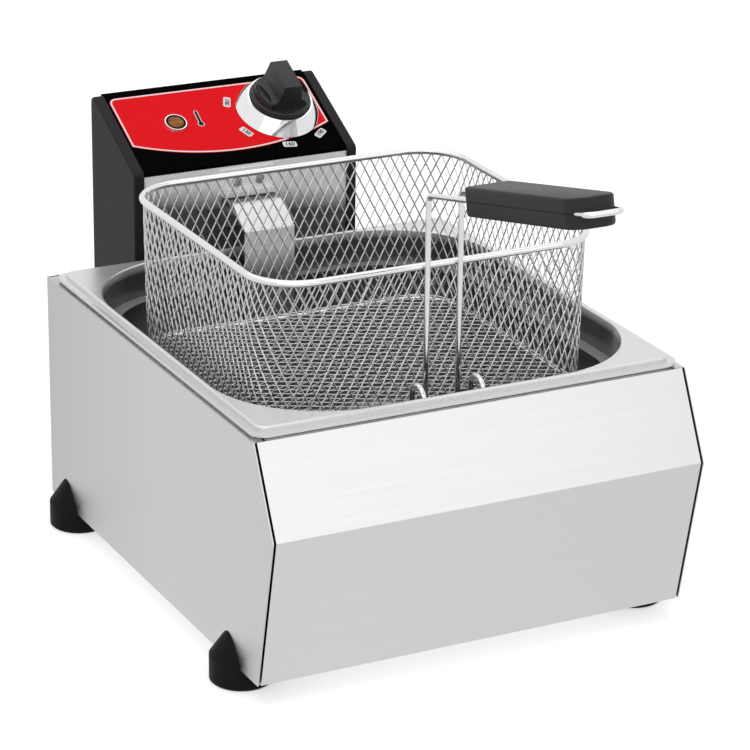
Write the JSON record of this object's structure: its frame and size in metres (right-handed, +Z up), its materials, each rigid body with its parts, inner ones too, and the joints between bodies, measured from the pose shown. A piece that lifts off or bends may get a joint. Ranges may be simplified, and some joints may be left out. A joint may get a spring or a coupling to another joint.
{
  "type": "deep fryer",
  "caption": "Countertop electric deep fryer: creased steel cabinet, lift-out oil tank, lift-off control head with element and dial, and a mesh basket on a long handle.",
  "frame": {"origin": "on the table, under the middle of the whole fryer", "axes": "+Z up, -Y to the front where the handle points, +X to the right of someone who faces the front panel"},
  "size_m": [0.355, 0.6243, 0.3781],
  "materials": {
    "cabinet_steel": "brushed stainless sheet",
    "tank_steel": "satin drawn stainless",
    "head_steel": "brushed stainless sheet",
    "polished_wire": "polished wire",
    "mesh_wire": "bright woven wire",
    "chrome_trim": "bright chrome",
    "element_steel": "heat-dulled steel",
    "cap_plastic": "fine-grained moulding",
    "fascia_black": "gloss black",
    "label_red": "printed film",
    "knob_plastic": "satin black",
    "grip_plastic": "matt black",
    "foot_rubber": "matt black",
    "amber_lens": "clear amber",
    "inner_plastic": "moulded insulator",
    "copper_tube": "bare metal",
    "button_red": "moulded"
  },
  "bodies": {
    "cabinet": {"base_pan": "cabinet_steel", "side_panel_left": "cabinet_steel", "side_panel_right": "cabinet_steel", "front_panel": "cabinet_steel", "rear_panel": "cabinet_steel", "foot_front_left": "foot_rubber", "foot_front_right": "foot_rubber", "foot_rear_left": "foot_rubber", "foot_rear_right": "foot_rubber", "foot_screws": "head_steel"},
    "tank": {"oil_tank": "tank_steel"},
    "head": {"head_front_plate": "head_steel", "head_hanger": "head_steel", "head_back_cover": "head_steel", "head_floor": "head_steel", "head_cap_left": "cap_plastic", "head_cap_right": "cap_plastic", "control_panel": "fascia_black", "panel_label": "label_red", "dial_bezel": "chrome_trim", "thermostat": "inner_plastic", "thermostat_bulb": "copper_tube", "thermostat_capillary": "copper_tube", "bulb_clip": "head_steel", "pilot_lamp_bezel": "chrome_trim", "pilot_lamp_lens": "amber_lens", "pilot_lamp_body": "inner_plastic", "cutout": "inner_plastic", "reset_collar": "chrome_trim", "terminal_block": "inner_plastic", "cable_gland": "cap_plastic", "gland_nut": "cap_plastic", "heating_element": "element_steel", "element_plate": "head_steel", "element_nuts": "copper_tube", "element_guard": "head_steel", "hook_plate": "head_steel", "hook_plate_screws": "chrome_trim"},
    "knob": {"control_knob": "knob_plastic", "thermostat_shaft": "head_steel"},
    "reset": {"reset_button": "button_red"},
    "basket": {"basket_rim": "polished_wire", "basket_walls": "mesh_wire", "basket_floor": "mesh_wire", "basket_base_wire": "polished_wire", "handle_wire": "polished_wire", "grip_upper": "grip_plastic", "grip_lower": "grip_plastic", "grip_screws": "chrome_trim", "drain_hook_left": "polished_wire", "drain_hook_right": "polished_wire"}
  },
  "joints": [
    {"name": "tank_lift", "type": "slide", "parent": "cabinet", "child": "tank", "axis": [0, 0, 1], "range_m": [0, 0.16]},
    {"name": "head_lift", "type": "slide", "parent": "tank", "child": "head", "axis": [0, 0, 1], "range_m": [0, 0.075]},
    {"name": "basket_lift", "type": "slide", "parent": "tank", "child": "basket", "axis": [0, 0, 1], "range_m": [0, 0.16]},
    {"name": "dial_turn", "type": "hinge", "parent": "head", "child": "knob", "pos_m": [0.0465, 0.26045, 0.2797], "axis": [0, -0.454, 0.891], "range_deg": [-270, 0]},
    {"name": "reset_press", "type": "slide", "parent": "head", "child": "reset", "axis": [0, -1, 0], "range_m": [0, 0.0025], "stiffness_N_per_m": 400}
  ]
}
